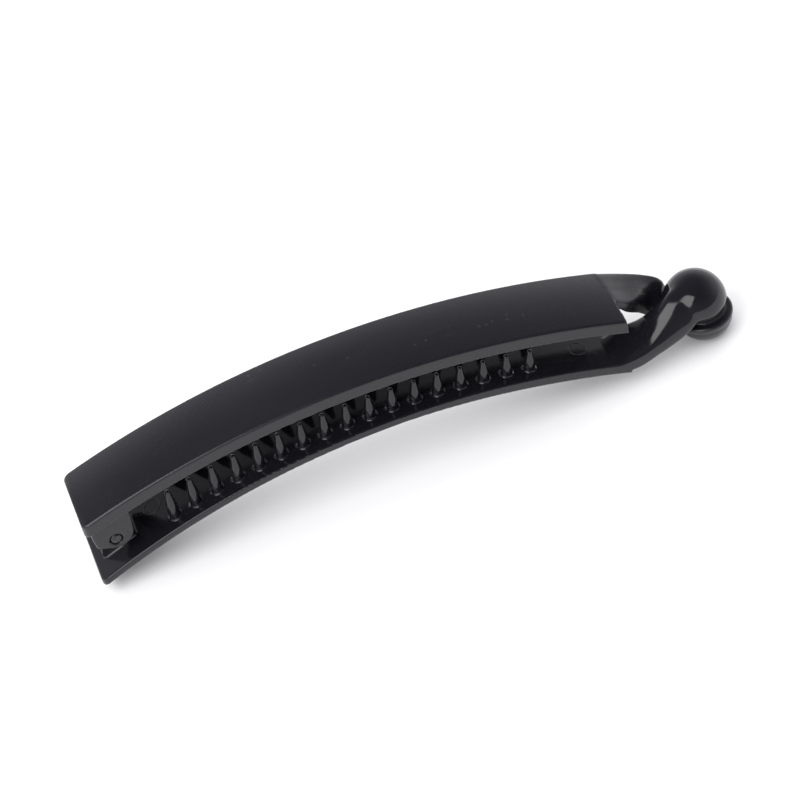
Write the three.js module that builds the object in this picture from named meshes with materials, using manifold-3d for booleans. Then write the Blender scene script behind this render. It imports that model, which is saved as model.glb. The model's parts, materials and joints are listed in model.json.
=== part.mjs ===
// Banana hair clip: two long arched jaws on one hinge pin, held shut by two fingers that interlock at the far end.
// Millimetres. X runs along the clip from the hinge to the latch, Y across it, +Z up. It stands arch up.
import * as THREE from 'three';
import { mergeVertices } from 'three/addons/utils/BufferGeometryUtils.js';
import Module from 'manifold-3d';

const wasm = await Module();
wasm.setup();

// ---- driving dimensions ----
const WIDTH = 15; // across the outer jaw
const HINGE_END = -53.8; // where both jaws end behind the hinge
const LATCH_END = { far: 54.1, near: 54.9 }; // the cover's end is cut slightly askew
const GAP = 0.3; // left between two solids that meet
const CORNER_RADIUS = 1.4;
const FINEST_DETAIL = 0.004; // smaller steps left by the joins and cuts are smoothed away

const COVER_RADIUS = 156; // arc of the outer jaw's shoulders, which peaks at x = 0, z = 0
const CROWN = 0.7; // rise of the outer jaw's top between its shoulders
const SKIN = 1.7; // thickness of the outer jaw's top
const LIP_DEPTH = 2.95; // from the shoulders down to the bottom of the side lips
const LIP_THICKNESS = 1.4;
const SHOULDER_RADIUS = 0.5;
const END_WALL = 1.3;
const RAIL = { offset: 4.7, thickness: 1.1, depth: 3.4, start: -43.5, end: 52 };

const PLATE_WIDTH = 14.7; // across the inner jaw
const PLATE_RADIUS = 138; // arc of the inner jaw's top face
const PLATE_SHIFT = 4.2; // its arc peaks this far towards the latch
const PLATE_DROP = 12.25; // from the shoulders' peak down to the plate's
const PLATE_THICKNESS = 1.65;
const PLATE_SWELL = 0.6; // how much thicker the plate gets towards the latch
const PLATE_END = 53.9; // where the near corner of the plate ends at the latch

const TEETH_PER_ROW = 17;
const TOOTH_PITCH = 4.5;
const FIRST_TOOTH = -36.7;
const ROW_OFFSET = 4.2; // from the middle to each row
const TOOTH = { base: 1.15, tip: 0.5, sunk: 0.4 };
const TIP_DEPTH = 6.8; // the tips follow the cover, this far below its shoulders
const TOOTH_LEAN = 0.1; // every tooth leans towards the latch by this angle
const TOOTH_FAN = 0.3; // and takes this share of the arc's own lean

const PIN = { x: -48.5, z: -16.7, radius: 1.15, halfLength: 6.15 };
const PIN_HOLE_RADIUS = 1.25;
const EAR = { outer: 6.15, inner: 4.6 };
const BOSS = { radius: 2.4, inner: 2.9 }; // round the pin, on the inside of each ear
const KNUCKLE = { half: 2.6, radius: 3.1 };

const DOME = { x: 70.3, z: -18.8, radius: 6.2 };
const PAD = { x: 71.6, z: -22.0, radius: 5.7, rim: 1.2, depth: 4.75, neck: 4.2 };
const TONGUE_TOP = -19.3; // where the tongue lies flat under the dome
const TONGUE_THICKNESS = 2.5;
const REST_TILT = 0.014; // turns the clip so that the hinge end and the pad both touch the ground

// ---- arcs of the two jaws ----
const coverTop = (x) => Math.sqrt(COVER_RADIUS ** 2 - x ** 2) - COVER_RADIUS;
const plateTop = (x) => Math.sqrt(PLATE_RADIUS ** 2 - (x - PLATE_SHIFT) ** 2) - PLATE_RADIUS - PLATE_DROP;
const coverLean = (x) => Math.asin(x / COVER_RADIUS);
const plateLean = (x) => Math.asin((x - PLATE_SHIFT) / PLATE_RADIUS);

class CoverArc extends THREE.Curve {
  getPoint(t, target = new THREE.Vector3()) {
    const angle = THREE.MathUtils.lerp(coverLean(HINGE_END), coverLean(LATCH_END.near + 2), t);
    return target.set(COVER_RADIUS * Math.sin(angle), 0, COVER_RADIUS * (Math.cos(angle) - 1));
  }
}

// ---- solids ----
function toSolid(geometry) {
  const bare = geometry.clone();
  bare.deleteAttribute('normal');
  bare.deleteAttribute('uv');
  const merged = mergeVertices(bare, 1e-4);
  const vertProperties = new Float32Array(merged.attributes.position.array);
  const triVerts = new Uint32Array(merged.index.array);
  return new wasm.Manifold(new wasm.Mesh({ numProp: 3, vertProperties, triVerts }));
}

function toGeometry(solid) {
  const mesh = solid.simplify(FINEST_DETAIL).getMesh();
  const geometry = new THREE.BufferGeometry();
  geometry.setAttribute('position', new THREE.BufferAttribute(new Float32Array(mesh.vertProperties), 3));
  geometry.setIndex(new THREE.BufferAttribute(new Uint32Array(mesh.triVerts), 1));
  return geometry;
}

const point = (x, y) => new THREE.Vector2(x, y);
const lerpSteps = (from, to, count) =>
  Array.from({ length: count + 1 }, (_, i) => THREE.MathUtils.lerp(from, to, i / count));

// an outline in X and Z, extruded across the clip from y = low to y = high
function sideProfile(outline, low, high) {
  const shape = outline instanceof THREE.Shape ? outline : new THREE.Shape(outline);
  const options = { depth: high - low, bevelEnabled: false, curveSegments: 12 };
  const geometry = new THREE.ExtrudeGeometry(shape, options);
  return toSolid(geometry.rotateX(Math.PI / 2).translate(0, high, 0));
}

// an outline in X and Y, extruded over the whole height of the clip
function planProfile(shape) {
  const options = { depth: 90, bevelEnabled: false, curveSegments: 6 };
  return toSolid(new THREE.ExtrudeGeometry(shape, options).translate(0, 0, -60));
}

// a band between two curves of x, in side view, from one x to another
function bandProfile(upper, lower, left, right, low, high) {
  const xs = lerpSteps(left, right, Math.max(2, Math.round((right - left) / 2.6)));
  const top = xs.map((x) => point(x, upper(x)));
  const bottom = xs.map((x) => point(x, lower(x))).reverse();
  return sideProfile([...top, ...bottom], low, high);
}

// a closed skin over smooth rails that run side by side, in order round the section
function railSkin(rails, steps) {
  const curves = rails.map((rail) => new THREE.CatmullRomCurve3(rail.map((p) => new THREE.Vector3(...p))));
  const count = curves.length;
  const positions = lerpSteps(0, 1, steps).flatMap((t) => curves.flatMap((c) => c.getPoint(t).toArray()));
  const index = [];
  for (let ring = 0; ring < steps; ring += 1) {
    for (let side = 0; side < count; side += 1) {
      const a = ring * count + side;
      const b = ring * count + ((side + 1) % count);
      index.push(a, a + count, b, b, a + count, b + count);
    }
  }
  for (let side = 1; side < count - 1; side += 1) {
    const last = steps * count;
    index.push(0, side, side + 1, last, last + side + 1, last + side);
  }
  const geometry = new THREE.BufferGeometry();
  geometry.setAttribute('position', new THREE.Float32BufferAttribute(positions, 3));
  geometry.setIndex(index);
  return toSolid(geometry);
}

function cylinderAlongY(x, z, radius, low, high, sides) {
  const geometry = new THREE.CylinderGeometry(radius, radius, high - low, sides);
  return toSolid(geometry.translate(x, (low + high) / 2, z));
}

function lathed(profile, sides) {
  return new THREE.LatheGeometry(profile.map(([r, z]) => point(r, z)), sides).rotateX(Math.PI / 2);
}

// ---- outer jaw: crowned cover with side lips and end walls, two rails and two hinge ears ----
function coverSection() {
  const half = WIDTH / 2;
  const flat = half - SHOULDER_RADIUS;
  const crown = lerpSteps(flat, -flat, 8).map((y) => point(y, CROWN * (1 - (y / flat) ** 2)));
  const shoulder = (side, from, to) => lerpSteps(from, to, 3).map((angle) => point(
    side * flat + SHOULDER_RADIUS * Math.cos(angle),
    SHOULDER_RADIUS * (Math.sin(angle) - 1)));
  return [
    point(half, -LIP_DEPTH),
    ...shoulder(1, 0, 0.4 * Math.PI),
    ...crown,
    ...shoulder(-1, 0.6 * Math.PI, Math.PI),
    point(-half, -LIP_DEPTH),
  ];
}

// the space under the skin, open downwards
function cavitySection() {
  const half = WIDTH / 2 - LIP_THICKNESS;
  return [point(half, -SKIN), point(-half, -SKIN), point(-half, -WIDTH), point(half, -WIDTH)];
}

// the arc's own frame has the section's axes along -Y and -Z
function sweptAlongCover(section) {
  const shape = new THREE.Shape(section.map((p) => point(-p.x, -p.y)));
  return toSolid(new THREE.ExtrudeGeometry(shape, { steps: 40, extrudePath: new CoverArc() }));
}

// the cover's outline seen from above, drawn in by the given wall
function coverPlan(wall, radius) {
  const half = WIDTH / 2 - wall;
  const left = HINGE_END + wall;
  const shape = new THREE.Shape();
  shape.moveTo(LATCH_END.near - wall, -half);
  shape.lineTo(LATCH_END.far - wall, half);
  shape.absarc(left + radius, half - radius, radius, Math.PI / 2, Math.PI, false);
  shape.absarc(left + radius, -half + radius, radius, Math.PI, 1.5 * Math.PI, false);
  return planProfile(shape);
}

function coverShell() {
  const cavity = sweptAlongCover(cavitySection()).intersect(coverPlan(END_WALL, CORNER_RADIUS / 2));
  return sweptAlongCover(coverSection()).intersect(coverPlan(0, CORNER_RADIUS)).subtract(cavity);
}

function rail(side) {
  const ramp = (x) => THREE.MathUtils.smoothstep(x, RAIL.start, RAIL.start + 3);
  const bottom = (x) => coverTop(x) - THREE.MathUtils.lerp(SKIN, RAIL.depth, ramp(x));
  const low = side * RAIL.offset - RAIL.thickness / 2;
  const top = (x) => coverTop(x) - SKIN / 2;
  return bandProfile(top, bottom, RAIL.start, RAIL.end, low, low + RAIL.thickness);
}

function ear(side) {
  const shape = new THREE.Shape();
  shape.moveTo(-52.5, -10.3);
  shape.lineTo(-52.75, -14.6);
  shape.lineTo(-52.5, -17.0);
  shape.quadraticCurveTo(-52.4, -17.5, -51.8, -17.9);
  shape.lineTo(-49.8, -18.75);
  shape.bezierCurveTo(-48.4, -19.3, -46.2, -19.0, -45.3, -17.2);
  shape.quadraticCurveTo(-44.8, -16.4, -44.7, -14.9);
  shape.lineTo(-44.3, -7.2);
  const boss = [side * BOSS.inner, side * (EAR.inner + 0.5)];
  const plate = [side * EAR.inner, side * EAR.outer];
  return sideProfile(shape, Math.min(...plate), Math.max(...plate))
    .add(cylinderAlongY(PIN.x, PIN.z, BOSS.radius, Math.min(...boss), Math.max(...boss), 32));
}

function pinHole() {
  return cylinderAlongY(PIN.x, PIN.z, PIN_HOLE_RADIUS, -WIDTH, WIDTH, 24);
}

function outerJaw() {
  return coverShell()
    .add(rail(-1))
    .add(rail(1))
    .add(ear(-1))
    .add(ear(1))
    .subtract(pinHole());
}

// ---- latch tongue: the outer jaw's flexing end, which dips under the dome and carries a round pad ----
function tongueStrip() {
  const x = LATCH_END.near + GAP;
  const nearTop = [[x, -1.9, -9.5], [57.4, -1.3, -12.0], [60.2, 0.7, -14.8], [61.5, 1.5, -18.4],
    [62.5, 1.6, TONGUE_TOP], [64.4, 1.2, TONGUE_TOP], [70, -2.4, TONGUE_TOP]];
  const farTop = [[LATCH_END.far + GAP, 7.3, -9.8], [58.6, 7.35, -12.1], [62.3, 7.0, -14.1],
    [65.0, 6.6, -16.1], [66.1, 6.5, -17.7], [66.9, 6.3, TONGUE_TOP], [70, 2.4, TONGUE_TOP]];
  const farBottom = lowered(farTop);
  const nearBottom = lowered(nearTop);
  nearBottom[2] = [59.4, 0.8, -18.2];
  nearBottom[3] = [60.9, 1.5, -20.4];
  return railSkin([nearTop, farTop, farBottom, nearBottom], 16);
}

// a rail moved down through the tongue's thickness
function lowered(rail) {
  return rail.map(([x, y, z], i) => [x - (i > 0 ? 0.3 : 0) * TONGUE_THICKNESS, y, z - TONGUE_THICKNESS]);
}

function latchPad() {
  const ball = lerpSteps(0, 0.5 * Math.PI, 8).map((angle) => [
    PAD.radius * Math.sin(angle), -PAD.rim - PAD.depth * Math.cos(angle)]);
  const neckTop = TONGUE_TOP - PAD.z;
  const profile = [...ball, [PAD.radius, 0], [PAD.neck, 0], [PAD.neck, neckTop], [0, neckTop]];
  return toSolid(lathed(profile, 36).translate(PAD.x, 0, PAD.z));
}

// ---- inner jaw: arched plate with two rows of teeth, the hinge knuckle, and the finger with its dome ----
function plate() {
  const lower = (x) => plateTop(x) - PLATE_THICKNESS - PLATE_SWELL * THREE.MathUtils.smoothstep(x, 5, 45);
  const half = PLATE_WIDTH / 2;
  const plan = new THREE.Shape();
  const r = CORNER_RADIUS;
  plan.moveTo(PLATE_END, -half);
  plan.lineTo(PLATE_END, -1.2);
  plan.bezierCurveTo(52.6, 2.6, 51.6, 5.4, 50.2, half);
  plan.absarc(HINGE_END + r, half - r, r, Math.PI / 2, Math.PI, false);
  plan.absarc(HINGE_END + r, -half + r, r, Math.PI, 1.5 * Math.PI, false);
  return bandProfile(plateTop, lower, -56, 57, -WIDTH, WIDTH).intersect(planProfile(plan));
}

function tooth(x, y) {
  const { base, tip, sunk } = TOOTH;
  const height = coverTop(x) - TIP_DEPTH - plateTop(x);
  const profile = [[0, -sunk], [base, -sunk], [base, 0], [0.92 * base, 0.45 * height],
    [tip, height - tip], [0.7 * tip, height - 0.3 * tip], [0, height]];
  const cone = lathed(profile, 10).rotateY(TOOTH_LEAN + TOOTH_FAN * plateLean(x));
  return toSolid(cone.translate(x, y, plateTop(x)));
}

function toothRow(side, first) {
  return lerpSteps(first, first + TOOTH_PITCH * (TEETH_PER_ROW - 1), TEETH_PER_ROW - 1)
    .map((x) => tooth(x, side * ROW_OFFSET));
}

function knuckle() {
  const shape = new THREE.Shape();
  const base = plateTop(PIN.x) - 1;
  shape.moveTo(PIN.x - 3.6, base);
  shape.lineTo(PIN.x + 4.4, base);
  shape.lineTo(PIN.x + KNUCKLE.radius, PIN.z);
  shape.absarc(PIN.x, PIN.z, KNUCKLE.radius, 0, Math.PI, false);
  return sideProfile(shape, -KNUCKLE.half, KNUCKLE.half);
}

function latchFinger() {
  const nearTop = [[51, -7.2, -19.9], [55.5, -7.0, -19.9], [59.5, -6.4, -18.9], [64, -6.1, -17.5],
    [68, -5.6, -17.0], [71, -4.2, -17.0]];
  const farTop = [[51, 0.6, -19.9], [55.5, 1.0, -19.6], [58.8, 0.1, -18.3], [62.2, -0.1, -16.4],
    [65.3, 1.0, -14.6], [69, 2.4, -14.0]];
  const farBottom = [[51, 0.6, -21.5], [55.5, 1.0, -22.0], [59.2, 0.1, -21.6], [62.6, -0.3, -20.6],
    [66, -0.2, -18.7], [69, 2.4, -17.2]];
  const nearBottom = [[51, -7.2, -22.4], [55.5, -7.0, -23.7], [59.5, -6.4, -23.4], [64, -6.1, -21.6],
    [67.5, -5.6, -19.6], [71, -4.2, -17.6]];
  return railSkin([nearTop, farTop, farBottom, nearBottom], 14);
}

function latchDome() {
  const arc = lerpSteps(0.5 * Math.PI, 0, 10).map((angle) => [
    DOME.radius * Math.sin(angle), DOME.radius * Math.cos(angle)]);
  return toSolid(lathed([[0, 0], ...arc], 36).translate(DOME.x, 0, DOME.z));
}

function innerJaw() {
  const nearTeeth = toothRow(-1, FIRST_TOOTH);
  const farTeeth = toothRow(1, FIRST_TOOTH + TOOTH_PITCH / 2);
  const parts = [...nearTeeth, ...farTeeth, knuckle(), latchFinger(), latchDome()];
  return parts.reduce((whole, piece) => whole.add(piece), plate()).subtract(pinHole());
}

function hingePin() {
  return cylinderAlongY(PIN.x, PIN.z, PIN.radius, -PIN.halfLength, PIN.halfLength, 24);
}

// ---- assembly ----
const glossBlack = { color: 0x17171a, roughness: 0.22, metalness: 0 };
const satinBlack = { color: 0x1c1c20, roughness: 0.38, metalness: 0 };

function named(name, solid, finish) {
  const mesh = new THREE.Mesh(toGeometry(solid), new THREE.MeshStandardMaterial(finish));
  mesh.name = name;
  return mesh;
}

const clip = new THREE.Group();
clip.add(
  named('outer_jaw', outerJaw(), satinBlack),
  named('latch_tongue', tongueStrip().add(latchPad()), glossBlack),
  named('inner_jaw', innerJaw(), glossBlack),
  named('hinge_pin', hingePin(), glossBlack),
);
clip.rotation.y = REST_TILT;
const bounds = new THREE.Box3().setFromObject(clip, true);
const middle = bounds.getCenter(new THREE.Vector3());
clip.position.set(-middle.x, -middle.y, -bounds.min.z);

export default clip;
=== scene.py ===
# The looks of the banana hair clip: two black plastic mouldings hinged on a pin, on a pale studio floor.
import json
import math

import bmesh
import bpy
from mathutils import Matrix, Vector


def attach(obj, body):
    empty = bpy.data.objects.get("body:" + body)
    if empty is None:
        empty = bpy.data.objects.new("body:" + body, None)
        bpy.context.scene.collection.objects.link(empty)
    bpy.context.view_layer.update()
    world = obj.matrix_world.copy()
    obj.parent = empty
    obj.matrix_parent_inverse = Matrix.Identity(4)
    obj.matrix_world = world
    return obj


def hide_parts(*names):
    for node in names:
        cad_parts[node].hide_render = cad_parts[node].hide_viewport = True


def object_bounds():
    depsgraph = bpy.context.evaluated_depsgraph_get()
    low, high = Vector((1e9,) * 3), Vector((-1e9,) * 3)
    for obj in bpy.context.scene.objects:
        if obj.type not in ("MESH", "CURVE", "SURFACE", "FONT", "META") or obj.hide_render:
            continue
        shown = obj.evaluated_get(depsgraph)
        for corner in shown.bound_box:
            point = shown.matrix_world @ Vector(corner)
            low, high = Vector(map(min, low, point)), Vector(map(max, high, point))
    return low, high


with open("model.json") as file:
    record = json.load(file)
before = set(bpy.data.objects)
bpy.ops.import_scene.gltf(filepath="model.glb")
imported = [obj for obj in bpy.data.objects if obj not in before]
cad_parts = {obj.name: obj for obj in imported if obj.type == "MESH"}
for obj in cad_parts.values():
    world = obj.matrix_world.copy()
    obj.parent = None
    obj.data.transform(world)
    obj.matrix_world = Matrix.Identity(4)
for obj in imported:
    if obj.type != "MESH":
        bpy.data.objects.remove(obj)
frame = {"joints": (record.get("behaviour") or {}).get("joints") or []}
cad_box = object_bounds()

# ---- driving dimensions, in millimetres, as in the CAD: x = 0 mid-cover, z = 0 at its shoulders' peak ----
WIDTH = 15.0
HINGE_END = -53.8
LATCH_END = 54.5
LATCH_SKEW = 0.4  # the latch end of the cover is cut askew by this much each way
CORNER_RADIUS = 1.4

COVER_RADIUS = 156.0  # arc of the cover's shoulders
CROWN = 0.7  # rise of the cover between its shoulders
SKIN = 1.7
LIP_DEPTH = 2.95
LIP_THICKNESS = 1.4
SHOULDER_RADIUS = 0.5
END_WALL = 1.3
RAIL_OFFSET, RAIL_THICKNESS, RAIL_DEPTH = 4.7, 1.1, 3.4
RAIL_START, RAIL_END = -43.5, 52.0

PLATE_WIDTH = 14.7
PLATE_RADIUS = 138.0
PLATE_SHIFT = 4.2  # the plate's arc peaks this far towards the latch
PLATE_DROP = 12.25  # from the shoulders' peak down to the plate's
PLATE_THICKNESS = 1.65
PLATE_SWELL = 0.6  # how much thicker the plate gets towards the latch

TEETH_PER_ROW = 17
TOOTH_PITCH = 4.5
FIRST_TOOTH = -36.7
ROW_OFFSET = 4.2
TOOTH_BASE, TOOTH_TIP, TOOTH_SUNK = 1.15, 0.55, 0.4
TIP_DEPTH = 6.8  # the tips follow the cover, this far below its shoulders
TOOTH_LEAN = 0.1  # every tooth leans towards the latch
TOOTH_FAN = 0.3  # and takes this share of the plate's own lean

PIN = Vector((-48.5, 0.0, -16.7))
PIN_RADIUS, PIN_HALF_LENGTH, PIN_HOLE_RADIUS = 1.15, 6.15, 1.27
EAR_OUTER, EAR_INNER = 6.15, 4.6
BOSS_RADIUS, BOSS_INNER = 2.4, 2.9
KNUCKLE_HALF, KNUCKLE_RADIUS = 2.6, 3.1
EJECTOR_MARKS = ((45.7, -1.1), (-40.2, 1.2))  # where the mould's ejector pins left a ring on the plate
EJECTOR_RADIUS = 1.7

DOME = Vector((70.3, 0.0, -18.8))
DOME_RADIUS = 6.2
PAD = Vector((71.6, 0.0, -22.0))
PAD_RADIUS, PAD_RIM, PAD_DEPTH, PAD_NECK = 5.7, 1.2, 4.75, 4.2
TONGUE_TOP = -19.3  # where the tongue lies flat under the dome
TONGUE_THICKNESS = 2.5

REST_TILT = 0.014  # stands the clip on its hinge end and its pad
VOXEL = 0.22  # grain of the fused mouldings
ROUNDING = 5  # smoothing rounds that soften every moulded edge
FILLET_ROUNDS = 80  # and those that run the finger into the dome
CORNER_STEPS = 10
FLOOR_GAP = 0.00005  # in metres: keeps the floor clear of the clip's own lowest face

# the clip's own millimetre frame is laid into the row frame by its hinge pin
pin_at = Vector(frame["joints"][0]["pos_m"])
PLACE = (Matrix.Translation(pin_at) @ Matrix.Rotation(REST_TILT, 4, "Y") @ Matrix.Scale(0.001, 4)
         @ Matrix.Translation(-PIN))


def spread(start, end, count):
    return [start + (end - start) * i / count for i in range(count + 1)]


def mix(a, b, t):
    return a + (b - a) * t


def smoothstep(value, low, high):
    t = min(1.0, max(0.0, (value - low) / (high - low)))
    return t * t * (3 - 2 * t)


def cover_z(x, rise=0.0):
    return math.sqrt((COVER_RADIUS + rise) ** 2 - x ** 2) - COVER_RADIUS


def plate_z(x):
    return math.sqrt(PLATE_RADIUS ** 2 - (x - PLATE_SHIFT) ** 2) - PLATE_RADIUS - PLATE_DROP


def bezier(*controls, count=16):
    """Points along a Bezier curve of any degree."""
    def at(points, t):
        if len(points) == 1:
            return tuple(points[0])
        return at([[mix(u, v, t) for u, v in zip(p, q)] for p, q in zip(points, points[1:])], t)
    return [at(controls, t) for t in spread(0, 1, count)]


# ---- closed skins ----
def add_skin(bm, rings, wrapped=False):
    """A closed skin through rings of equal length: with an end face at each end, or wrapped round."""
    rows = [[bm.verts.new(p) for p in ring] for ring in rings]
    pairs = list(zip(rows, rows[1:] + ([rows[0]] if wrapped else [])))
    for low, high in pairs:
        for i in range(len(low)):
            bm.faces.new((low[i - 1], low[i], high[i], high[i - 1]))
    if not wrapped:
        bm.faces.new(rows[0][::-1])
        bm.faces.new(rows[-1])


def add_lathe(bm, profile, place, steps=48):
    """A profile of (radius, height) turned about the local Z axis; it starts and ends near the axis."""
    turns = [2 * math.pi * i / steps for i in range(steps)]
    add_skin(bm, [[place @ Vector((max(r, 0.01) * math.cos(a), max(r, 0.01) * math.sin(a), h))
                   for a in turns] for r, h in profile])


def catmull(points, t):
    """A smooth curve through the points, at t from 0 to 1."""
    last = len(points) - 1
    k = min(int(t * last), last - 1)
    u = t * last - k
    p = [Vector(points[min(max(k + i, 0), last)]) for i in (-1, 0, 1, 2)]
    return 0.5 * (2 * p[1] + (p[2] - p[0]) * u + (2 * p[0] - 5 * p[1] + 4 * p[2] - p[3]) * u ** 2
                  + (3 * p[1] - p[0] - 3 * p[2] + p[3]) * u ** 3)


def add_railed(bm, rails, power, crown, steps=80):
    """A skin along four smooth rails, with the middle of its top lifted by the crown.

    Its section is a box whose corners soften as the power falls to 2.
    """
    near_top, far_top, far_bottom, near_bottom = rails
    rings = []
    for t in spread(0, 1, steps):
        a, b, c, d = (catmull(r, t) for r in (near_top, far_top, far_bottom, near_bottom))
        up = ((a + b) - (c + d)).normalized()
        ring = []
        for angle in spread(0, 2 * math.pi, 48)[:-1]:
            u, v = (0.5 + 0.5 * math.copysign(abs(w) ** (2 / power(t)), w)
                    for w in (math.cos(angle), math.sin(angle)))
            ring.append(d.lerp(c, u).lerp(a.lerp(b, u) + up * crown(t) * (1 - (2 * u - 1) ** 2), v))
        rings.append(ring)
    add_skin(bm, rings)


def add_eyed_plate(bm, outline, low, high, steps=96):
    """A flat plate across the clip with the pin's hole through it; the outline is seen from the side."""
    rings = []
    for i in range(steps):
        ray = Vector((math.cos(2 * math.pi * i / steps), math.sin(2 * math.pi * i / steps)))
        reach = reach_of(outline, ray)
        corners = ((PIN_HOLE_RADIUS, low), (reach, low), (reach, high), (PIN_HOLE_RADIUS, high))
        rings.append([Vector((PIN.x + ray.x * r, y, PIN.z + ray.y * r)) for r, y in corners])
    add_skin(bm, rings, wrapped=True)


def reach_of(outline, ray):
    """How far the outline lies from the pin along the ray."""
    best = 0.0
    for (x0, z0), (x1, z1) in zip(outline, outline[1:] + outline[:1]):
        a = Vector((x0 - PIN.x, z0 - PIN.z))
        edge = Vector((x1 - x0, z1 - z0))
        cross = ray.x * edge.y - ray.y * edge.x
        if abs(cross) > 1e-9:
            along = (a.x * edge.y - a.y * edge.x) / cross
            share = (a.x * ray.y - a.y * ray.x) / cross
            if along > best and -1e-6 <= share <= 1 + 1e-6:
                best = along
    return best


# ---- outer jaw: crowned cover with side lips and end walls, rails, ears, and the tongue with its pad ----
def cover_outside(half):
    """The outside of the cover's section from lip to lip: across, and above the shoulders."""
    flat = half - SHOULDER_RADIUS
    turn = spread(0, 0.43 * math.pi, 8)
    near = [(flat + SHOULDER_RADIUS * math.cos(a), SHOULDER_RADIUS * (math.sin(a) - 1)) for a in turn]
    crown = [(y, crown_rise(y)) for y in spread(flat, -flat, 28)]
    far = [(-y, rise) for y, rise in reversed(near)]
    return [(half, -LIP_DEPTH)] + near + crown + far + [(-half, -LIP_DEPTH)]


def crown_rise(y):
    return CROWN * (1 - (y / (WIDTH / 2 - SHOULDER_RADIUS)) ** 2)


def cover_point(x, y, rise):
    end = x - LATCH_SKEW * (y / (WIDTH / 2)) * smoothstep(x, 44, LATCH_END)
    return Vector((end, y, cover_z(end, rise)))


def add_cover(bm):
    half = WIDTH / 2
    inner = half - LIP_THICKNESS
    inside = [(-inner, -LIP_DEPTH), (-inner, -SKIN - 0.3), (-inner + 0.3, -SKIN),
              (inner - 0.3, -SKIN), (inner, -SKIN - 0.3), (inner, -LIP_DEPTH)]
    outside = cover_outside(half)
    section = outside + inside
    start = HINGE_END + CORNER_RADIUS
    add_skin(bm, [[cover_point(x, y, rise) for y, rise in section] for x in spread(start, LATCH_END, 110)])
    latch = [(x, half) for x in (LATCH_END - END_WALL, LATCH_END)]
    hinge = [(HINGE_END + CORNER_RADIUS * (1 - math.cos(a)), half - CORNER_RADIUS * (1 - math.sin(a)))
             for a in spread(0.06, 0.5 * math.pi, CORNER_STEPS)]
    for wall in (hinge, latch):
        add_skin(bm, [[cover_point(x, y * width / half, rise) for y, rise in outside] for x, width in wall])


def add_rail(bm, side):
    low = side * RAIL_OFFSET - RAIL_THICKNESS / 2
    rings = []
    for x in spread(RAIL_START, RAIL_END, 90):
        depth = mix(SKIN, RAIL_DEPTH, smoothstep(x, RAIL_START, RAIL_START + 3))
        top, bottom = cover_z(x) - SKIN / 2, cover_z(x) - depth
        rings.append([Vector((x, low + y, z)) for y, z in (
            (0, top), (RAIL_THICKNESS, top), (RAIL_THICKNESS, bottom), (0, bottom))])
    add_skin(bm, rings)


def add_ear(bm, side):
    outline = [(-52.5, -10.3), (-52.75, -14.6)]
    outline += bezier((-52.5, -17.0), (-52.4, -17.5), (-51.8, -17.9), count=8)
    outline += bezier((-49.8, -18.75), (-48.4, -19.3), (-46.2, -19.0), (-45.3, -17.2))
    outline += bezier((-45.3, -17.2), (-44.8, -16.4), (-44.7, -14.9), count=8)[1:]
    outline += [(-44.3, -7.2)]
    add_eyed_plate(bm, outline, side * EAR_INNER, side * EAR_OUTER)
    boss = round_the_pin(BOSS_RADIUS, 0, 2 * math.pi)
    add_eyed_plate(bm, boss, side * BOSS_INNER, side * (EAR_INNER + 0.5))


def round_the_pin(radius, start, end):
    """Points of an arc round the pin, seen from the side."""
    return [(PIN.x + radius * math.cos(a), PIN.z + radius * math.sin(a)) for a in spread(start, end, 32)]


def add_tongue(bm):
    near_top = [(53.6, -2.1, -9.0), (54.9, -1.9, -9.4), (57.4, -1.3, -12.0), (60.2, 0.7, -14.8),
                (61.5, 1.5, -18.4), (62.5, 1.6, TONGUE_TOP), (64.4, 1.2, TONGUE_TOP), (70, -2.4, TONGUE_TOP)]
    far_top = [(53.2, 7.1, -9.5), (54.3, 7.25, -9.65), (58.6, 7.4, -11.85), (62.3, 7.2, -13.75),
               (65.4, 6.8, -15.65), (66.7, 6.6, -17.5), (67.3, 6.3, TONGUE_TOP), (70, 2.4, TONGUE_TOP)]
    far_bottom, near_bottom = lowered(far_top), lowered(near_top)
    near_bottom[3:5] = [(59.4, 0.8, -18.2), (60.9, 1.5, -20.4)]
    add_railed(bm, (near_top, far_top, far_bottom, near_bottom), lambda t: 7, lambda t: 0.3)


def lowered(rail):
    """The rail moved down through the tongue's thickness; its first two points lie in the cover's end."""
    return [(x - (0.3 * TONGUE_THICKNESS if i > 1 else 0), y, z - TONGUE_THICKNESS)
            for i, (x, y, z) in enumerate(rail)]


def add_pad(bm):
    rim = [(PAD_NECK, TONGUE_TOP - PAD.z), (PAD_NECK, 0.0), (PAD_RADIUS - 0.35, 0.0),
           (PAD_RADIUS, -0.3), (PAD_RADIUS, -PAD_RIM + 0.25), (PAD_RADIUS - 0.2, -PAD_RIM)]
    ball = [((PAD_RADIUS - 0.2) * math.cos(a), -PAD_RIM - PAD_DEPTH * math.sin(a))
            for a in spread(0.05, 0.5 * math.pi, 16)]
    add_lathe(bm, [(0, TONGUE_TOP - PAD.z)] + rim + ball, Matrix.Translation(PAD))


def build_outer(bm):
    add_cover(bm)
    for side in (-1, 1):
        add_rail(bm, side)
        add_ear(bm, side)
    add_tongue(bm)
    add_pad(bm)


# ---- inner jaw: arched plate with teeth, hinge knuckle, and the finger with its dome ----
PLATE_TIP = bezier((53.9, -1.2), (52.6, 2.6), (51.6, 5.4), (50.2, PLATE_WIDTH / 2), count=24)


def plate_far_edge(x):
    """Where the plate's far edge lies, rounded at the hinge end and cut back at the latch."""
    if x < HINGE_END + CORNER_RADIUS:
        return plate_corner(x)
    if x <= PLATE_TIP[-1][0]:
        return PLATE_WIDTH / 2
    for (x1, y1), (x0, y0) in zip(PLATE_TIP, PLATE_TIP[1:]):
        if x0 <= x <= x1:
            return mix(y0, y1, (x - x0) / (x1 - x0))
    return PLATE_TIP[0][1]


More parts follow.
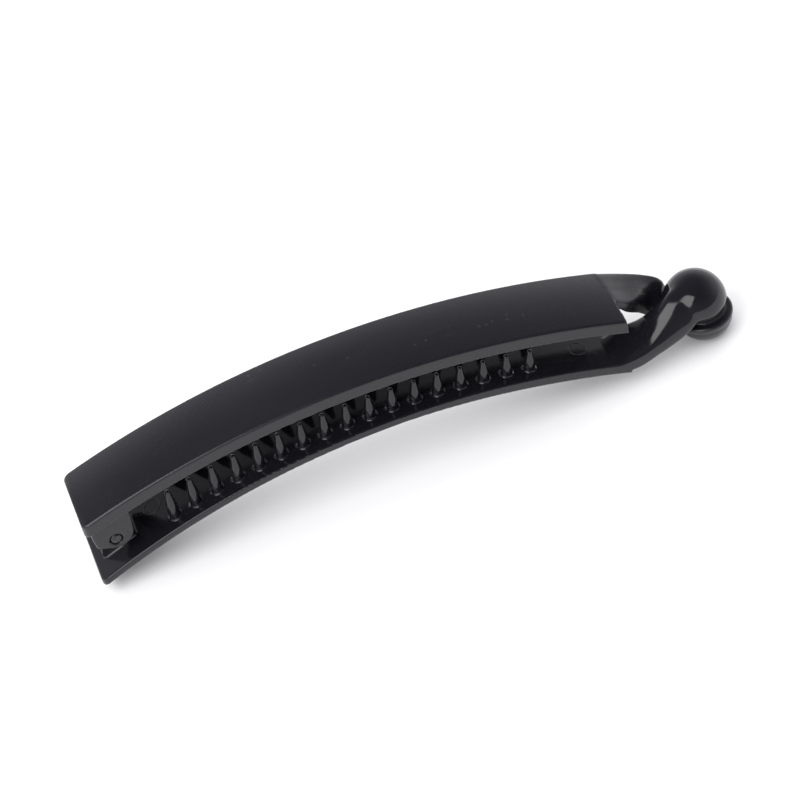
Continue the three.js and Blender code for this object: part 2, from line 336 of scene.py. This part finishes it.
def plate_corner(x):
    inset = CORNER_RADIUS - (x - HINGE_END)
    return PLATE_WIDTH / 2 - CORNER_RADIUS + math.sqrt(max(0, CORNER_RADIUS ** 2 - inset ** 2))


def add_plate(bm):
    corner = [HINGE_END + CORNER_RADIUS * (1 - math.cos(a))
              for a in spread(0.06, 0.5 * math.pi, CORNER_STEPS)]
    xs = corner + spread(corner[-1], PLATE_TIP[0][0], 150)[1:]
    rings = []
    for x in xs:
        near = -plate_corner(x) if x < HINGE_END + CORNER_RADIUS else -PLATE_WIDTH / 2
        top = plate_z(x)
        bottom = top - PLATE_THICKNESS - PLATE_SWELL * smoothstep(x, 5, 45)
        across = spread(near, plate_far_edge(x), 10)
        rings.append([Vector((x, y, z)) for z, ys in ((top, across), (bottom, across[::-1])) for y in ys])
    add_skin(bm, rings)


def add_tooth(bm, x, y):
    height = cover_z(x) - TIP_DEPTH - plate_z(x)
    lean = TOOTH_LEAN + TOOTH_FAN * math.asin((x - PLATE_SHIFT) / PLATE_RADIUS)
    foot = [(0, -TOOTH_SUNK), (TOOTH_BASE, -TOOTH_SUNK), (TOOTH_BASE, 0.4)]
    cone = [(0.92 * TOOTH_BASE, 0.45 * height), (TOOTH_TIP + 0.06, height - TOOTH_TIP - 0.4)]
    tip = [(TOOTH_TIP * math.cos(a), height - TOOTH_TIP + TOOTH_TIP * math.sin(a))
           for a in spread(0, 0.5 * math.pi, 6)]
    place = Matrix.Translation((x, y, plate_z(x))) @ Matrix.Rotation(lean, 4, "Y")
    add_lathe(bm, foot + cone + tip, place, 24)


def add_knuckle(bm):
    base = plate_z(PIN.x) - 1
    outline = [(PIN.x - 3.6, base), (PIN.x + 4.4, base)] + round_the_pin(KNUCKLE_RADIUS, 0, math.pi)
    add_eyed_plate(bm, outline, -KNUCKLE_HALF, KNUCKLE_HALF)


def add_finger(bm):
    """The finger swells towards the dome until it runs smoothly into its side."""
    near_top = [(49.5, -7.3, -20.6), (55.5, -7.25, -20.5), (59.5, -6.8, -19.9), (64, -6.5, -19.0),
                (67.5, -6.2, -18.0), (71, -5.2, -17.2)]
    far_top = [(49.5, 0.6, -20.6), (55.5, 1.5, -19.6), (58.8, 0.7, -18.2), (62.2, 0.3, -16.2),
               (65.3, 1.0, -14.9), (69, 2.4, -14.4)]
    far_bottom = [(49.5, 0.6, -21.4), (55.5, 1.5, -22.0), (59.2, 0.7, -21.6), (62.6, -0.1, -20.6),
                  (66, -0.2, -18.7), (69, 2.4, -17.2)]
    near_bottom = [(49.5, -7.3, -22.2), (54.8, -7.3, -23.5), (59.5, -6.8, -23.3), (64, -6.5, -22.4),
                   (67.8, -6.1, -20.5), (71, -4.2, -18.0)]
    add_railed(bm, (near_top, far_top, far_bottom, near_bottom),
               lambda t: mix(9, 3.5, smoothstep(t, 0.1, 0.6)),
               lambda t: mix(0.2, 2.75, smoothstep(t, 0.15, 0.85)))


def add_dome(bm):
    arc = [(DOME_RADIUS * math.cos(a), DOME_RADIUS * math.sin(a)) for a in spread(0, 0.5 * math.pi, 24)]
    add_lathe(bm, [(0, 0)] + arc, Matrix.Translation(DOME), 72)


def build_inner(bm):
    add_plate(bm)
    for i in range(TEETH_PER_ROW):
        for side in (-1, 1):
            x = FIRST_TOOTH + TOOTH_PITCH * (i + (0.5 if side > 0 else 0))
            add_tooth(bm, x, side * ROW_OFFSET)
    add_knuckle(bm)
    add_finger(bm)
    add_dome(bm)


def build_marks(bm):
    """The faint raised rings that the mould's ejector pins leave on the plate."""
    ridge = ((-0.15, -0.05), (-0.05, 0.09), (0.05, 0.09), (0.15, -0.05))
    for x, y in EJECTOR_MARKS:
        rings = []
        for a in spread(0, 2 * math.pi, 64)[:-1]:
            ring = []
            for out, height in ridge:
                r = EJECTOR_RADIUS + out
                at = x + r * math.cos(a)
                ring.append(Vector((at, y + r * math.sin(a), plate_z(at) + height)))
            rings.append(ring)
        add_skin(bm, rings, wrapped=True)


# ---- hinge pin ----
def build_pin(bm):
    r, end = PIN_RADIUS, PIN_HALF_LENGTH
    half = [(r, end - 0.35), (r - 0.1, end - 0.15), (r - 0.3, end - 0.05), (0.6 * r, end)]
    profile = [(0, end)] + half[::-1] + [(p, -h) for p, h in half] + [(0, -end)]
    add_lathe(bm, profile, Matrix.Translation(PIN) @ Matrix.Rotation(math.pi / 2, 4, "X"), 64)


# ---- making one moulding of the skins ----
def made(name, build):
    """An object in millimetres from the skins that build() adds."""
    bm = bmesh.new()
    build(bm)
    bmesh.ops.recalc_face_normals(bm, faces=bm.faces)
    mesh = bpy.data.meshes.new(name)
    bm.to_mesh(mesh)
    bm.free()
    obj = bpy.data.objects.new(name, mesh)
    bpy.context.scene.collection.objects.link(obj)
    return obj


def fused(obj):
    """Merges the skins into one, with the soft creases and edges of a moulding."""
    merge = obj.modifiers.new("merge", "REMESH")
    merge.mode = "VOXEL"
    merge.voxel_size = VOXEL
    ease = obj.modifiers.new("ease", "SMOOTH")
    ease.factor = 0.5
    ease.iterations = ROUNDING
    settle(obj)


def blended_round(obj, weight, rounds):
    """Runs the forms into each other where the weight says, as with a generous fillet."""
    group = obj.vertex_groups.new(name="fillet")
    for vertex in obj.data.vertices:
        share = weight(vertex.co)
        if share > 0:
            group.add([vertex.index], share, "REPLACE")
    ease = obj.modifiers.new("fillet", "SMOOTH")
    ease.factor = 0.5
    ease.iterations = rounds
    ease.vertex_group = group.name
    settle(obj)
    obj.vertex_groups.clear()


def settle(obj):
    """Applies the modifiers."""
    bpy.context.view_layer.update()
    final = bpy.data.meshes.new_from_object(obj.evaluated_get(bpy.context.evaluated_depsgraph_get()))
    final.name = obj.name
    obj.modifiers.clear()
    obj.data = final


def trued(obj, height, reach):
    """Puts the points that lie within reach of a moulded face exactly on it."""
    for vertex in obj.data.vertices:
        z = height(vertex.co)
        if z is not None and abs(vertex.co.z - z) < reach:
            vertex.co.z = z


def cover_face(co):
    flat = WIDTH / 2 - SHOULDER_RADIUS
    if abs(co.y) < flat and HINGE_END + 0.8 < co.x < LATCH_END - 0.8:
        return cover_z(co.x, crown_rise(co.y))
    return None


def plate_face(co):
    if abs(co.y) < PLATE_WIDTH / 2 - 0.7 and HINGE_END + 0.8 < co.x < 48:
        return plate_z(co.x)
    return None


def dome_fillet(co):
    """Full on the finger where it swells into the dome, nothing on the plate and on the dome's far side."""
    return smoothstep(co.x, 55, 62) * (1 - smoothstep(co.x, 68.5, 72)) * (1 - smoothstep(co.y, 1, 4))


def finished(obj, material, body, slot, *nodes):
    """Lays a piece into the row frame and hands it over."""
    obj.data.transform(PLACE)
    obj.data.shade_smooth()
    obj.data.materials.clear()
    obj.data.materials.append(material)
    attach(obj, body)
    if nodes:
        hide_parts(*nodes)


# ---- materials ----
class Nodes:
    """Short forms for building a material's nodes."""

    def __init__(self, material):
        material.use_nodes = True
        self.tree = material.node_tree
        self.shader = self.tree.nodes["Principled BSDF"]
        self.place = self.new("ShaderNodeTexCoord").outputs["Object"]

    def new(self, kind, **settings):
        node = self.tree.nodes.new(kind)
        for key, value in settings.items():
            setattr(node, key, value)
        return node

    def link(self, source, target):
        self.tree.links.new(source, target)

    def stretched(self, scale):
        node = self.new("ShaderNodeMapping")
        node.inputs["Scale"].default_value = scale
        self.link(self.place, node.inputs["Vector"])
        return node.outputs["Vector"]

    def noise(self, scale, detail=3.0, roughness=0.5, vector=None):
        node = self.new("ShaderNodeTexNoise")
        node.inputs["Scale"].default_value = scale
        node.inputs["Detail"].default_value = detail
        node.inputs["Roughness"].default_value = roughness
        self.link(vector or self.place, node.inputs["Vector"])
        return node.outputs["Fac"]

    def ranged(self, value, low, high, to_low, to_high):
        node = self.new("ShaderNodeMapRange")
        for name, number in (("From Min", low), ("From Max", high), ("To Min", to_low), ("To Max", to_high)):
            node.inputs[name].default_value = number
        self.link(value, node.inputs["Value"])
        return node.outputs["Result"]

    def maths(self, operation, a, b):
        node = self.new("ShaderNodeMath", operation=operation)
        for socket, value in zip(node.inputs, (a, b)):
            if isinstance(value, (int, float)):
                socket.default_value = value
            else:
                self.link(value, socket)
        return node.outputs["Value"]

    def blended(self, factor, a, b):
        """Two colours mixed by the factor; the first may be another node's output."""
        node = self.new("ShaderNodeMix", data_type="RGBA")
        self.link(factor, node.inputs["Factor"])
        if isinstance(a, tuple):
            node.inputs[6].default_value = a
        else:
            self.link(a, node.inputs[6])
        node.inputs[7].default_value = b
        return node.outputs[2]

    def bumped(self, height, distance, strength=1.0, below=None):
        node = self.new("ShaderNodeBump")
        node.inputs["Distance"].default_value = distance
        node.inputs["Strength"].default_value = strength
        self.link(height, node.inputs["Height"])
        if below:
            self.link(below, node.inputs["Normal"])
        return node.outputs["Normal"]


def black_plastic(name, roughness, peel):
    """Moulded black plastic: faint flow marks, orange peel, rubbed edges, hairline scratches and dust."""
    material = bpy.data.materials.new(name)
    n = Nodes(material)
    flow = n.noise(45, 4, 0.55, n.stretched((0.5, 1.6, 1.6)))
    grain = n.noise(5200, 2, 0.6)
    edge = n.ranged(n.new("ShaderNodeNewGeometry").outputs["Pointiness"], 0.52, 0.62, 0, 1)
    scratch = n.ranged(n.noise(900, 2, 0.5, n.stretched((0.07, 1.0, 1.0))), 0.66, 0.72, 0, 1)
    dust = n.ranged(n.noise(3100, 1, 0.4), 0.79, 0.83, 0, 1)
    tone = n.blended(n.ranged(flow, 0.3, 0.7, 0, 1), (0.0062, 0.0059, 0.0082, 1), (0.0092, 0.0088, 0.0116, 1))
    tone = n.blended(n.maths("MULTIPLY", edge, 0.5), tone, (0.03, 0.03, 0.034, 1))
    tone = n.blended(n.maths("MULTIPLY", dust, 0.2), tone, (0.13, 0.125, 0.12, 1))
    n.link(tone, n.shader.inputs["Base Color"])
    rough = n.maths("ADD", n.ranged(flow, 0.3, 0.7, roughness - 0.04, roughness + 0.05),
                    n.ranged(grain, 0.3, 0.7, -0.02, 0.02))
    rough = n.maths("ADD", rough, n.maths("MULTIPLY", edge, 0.08))
    rough = n.maths("ADD", rough, n.maths("MULTIPLY", scratch, 0.12))
    n.link(rough, n.shader.inputs["Roughness"])
    n.shader.inputs["IOR"].default_value = 1.47
    normal = n.bumped(n.noise(620, 2, 0.5), peel)
    normal = n.bumped(grain, 0.0000012, 1.0, normal)
    normal = n.bumped(scratch, -0.0000025, 1.0, normal)
    n.link(normal, n.shader.inputs["Normal"])
    return material


def pale_floor():
    material = bpy.data.materials.new("studio_floor")
    n = Nodes(material)
    tone = n.blended(n.noise(6, 3), (0.80, 0.80, 0.81, 1), (0.84, 0.84, 0.845, 1))
    n.link(tone, n.shader.inputs["Base Color"])
    n.link(n.ranged(n.noise(40, 3), 0.3, 0.7, 0.7, 0.85), n.shader.inputs["Roughness"])
    return material


# ---- pieces ----
satin = black_plastic("satin_black_plastic", roughness=0.27, peel=0.000004)
gloss = black_plastic("gloss_black_plastic", roughness=0.12, peel=0.0000025)

outer = made("outer_jaw_moulding", build_outer)
fused(outer)
trued(outer, cover_face, reach=0.08)
finished(outer, satin, "outer_jaw", "satin_black", "outer_jaw", "latch_tongue")

inner = made("inner_jaw_moulding", build_inner)
fused(inner)
trued(inner, plate_face, reach=0.025)
blended_round(inner, dome_fillet, FILLET_ROUNDS)
finished(inner, gloss, "inner_jaw", "gloss_black", "inner_jaw")

marks = made("ejector_marks", build_marks)
finished(marks, gloss, "inner_jaw", "gloss_black")

pin = made("hinge_pin_rod", build_pin)
finished(pin, gloss, "outer_jaw", "gloss_black", "hinge_pin")


# ---- stage, lights and camera ----
def add_floor():
    bm = bmesh.new()
    bmesh.ops.create_grid(bm, x_segments=8, y_segments=8, size=3)
    mesh = bpy.data.meshes.new("floor")
    bm.to_mesh(mesh)
    bm.free()
    mesh.materials.append(pale_floor())
    floor = bpy.data.objects.new("floor", mesh)
    floor.location.z = cad_box[0][2] - FLOOR_GAP
    bpy.context.scene.collection.objects.link(floor)


def add_softbox(name, location, target, size, power, mirrored=True):
    data = bpy.data.lights.new(name, "AREA")
    data.shape = "RECTANGLE"
    data.size, data.size_y = size
    data.energy = power
    lamp = bpy.data.objects.new(name, data)
    lamp.location = location
    lamp.visible_glossy = mirrored
    lamp.rotation_euler = (Vector(target) - Vector(location)).to_track_quat("-Z", "Y").to_euler()
    bpy.context.scene.collection.objects.link(lamp)


def add_sky():
    """A studio that is white at the horizon, dimmer overhead and darker on the side the clip is seen from."""
    world = bpy.data.worlds.new("studio")
    world.use_nodes = True
    tree = world.node_tree
    split = tree.nodes.new("ShaderNodeSeparateXYZ")
    tree.links.new(tree.nodes.new("ShaderNodeTexCoord").outputs["Generated"], split.inputs[0])

    def ramp(source, low, low_colour, high, high_colour):
        node = tree.nodes.new("ShaderNodeValToRGB")
        node.color_ramp.interpolation = "EASE"
        stops = node.color_ramp.elements
        stops[0].position, stops[0].color = low, low_colour
        stops[1].position, stops[1].color = high, high_colour
        tree.links.new(source, node.inputs[0])
        return node.outputs["Color"]

    side = tree.nodes.new("ShaderNodeMath")
    side.operation = "MULTIPLY_ADD"
    side.inputs[1].default_value = side.inputs[2].default_value = 0.5
    tree.links.new(split.outputs["Y"], side.inputs[0])
    height = ramp(split.outputs["Z"], 0.05, (0.97, 0.96, 1.0, 1), 0.95, (0.12, 0.118, 0.14, 1))
    depth = ramp(side.outputs["Value"], 0.1, (0.25, 0.25, 0.25, 1), 0.6, (1, 1, 1, 1))
    both = tree.nodes.new("ShaderNodeMix")
    both.data_type, both.blend_type = "RGBA", "MULTIPLY"
    both.inputs[0].default_value = 1.0
    tree.links.new(height, both.inputs[6])
    tree.links.new(depth, both.inputs[7])
    tree.links.new(both.outputs[2], tree.nodes["Background"].inputs["Color"])
    tree.nodes["Background"].inputs["Strength"].default_value = 1.0
    bpy.context.scene.world = world


def add_camera():
    """Looks down on the clip from its near side, a little turned and rolled as in a product photograph."""
    azimuth, elevation, roll = (math.radians(a) for a in (6.5, 45.987, -16.925))
    distance = 0.668
    target = PLACE @ Vector((10.573, 0, -15.428))
    look = Vector((math.sin(azimuth) * math.cos(elevation), math.cos(azimuth) * math.cos(elevation),
                   -math.sin(elevation)))
    data = bpy.data.cameras.new("camera")
    data.lens = 159.45
    data.sensor_width = 36
    data.clip_start = 0.01
    camera = bpy.data.objects.new("camera", data)
    turn = look.to_track_quat("-Z", "Y").to_matrix().to_4x4() @ Matrix.Rotation(roll, 4, "Z")
    camera.matrix_world = Matrix.Translation(target - distance * look) @ turn
    bpy.context.scene.collection.objects.link(camera)
    bpy.context.scene.camera = camera


bpy.context.scene.view_settings.view_transform = "Standard"
add_floor()
add_sky()
add_softbox("ceiling", (0, 0.1, 1.2), target=(0, 0, 0), size=(2.4, 2.4), power=32, mirrored=False)
add_softbox("key", (-0.62, -0.5, 0.68), target=(0, 0, 0.01), size=(0.9, 0.9), power=10)
add_camera()
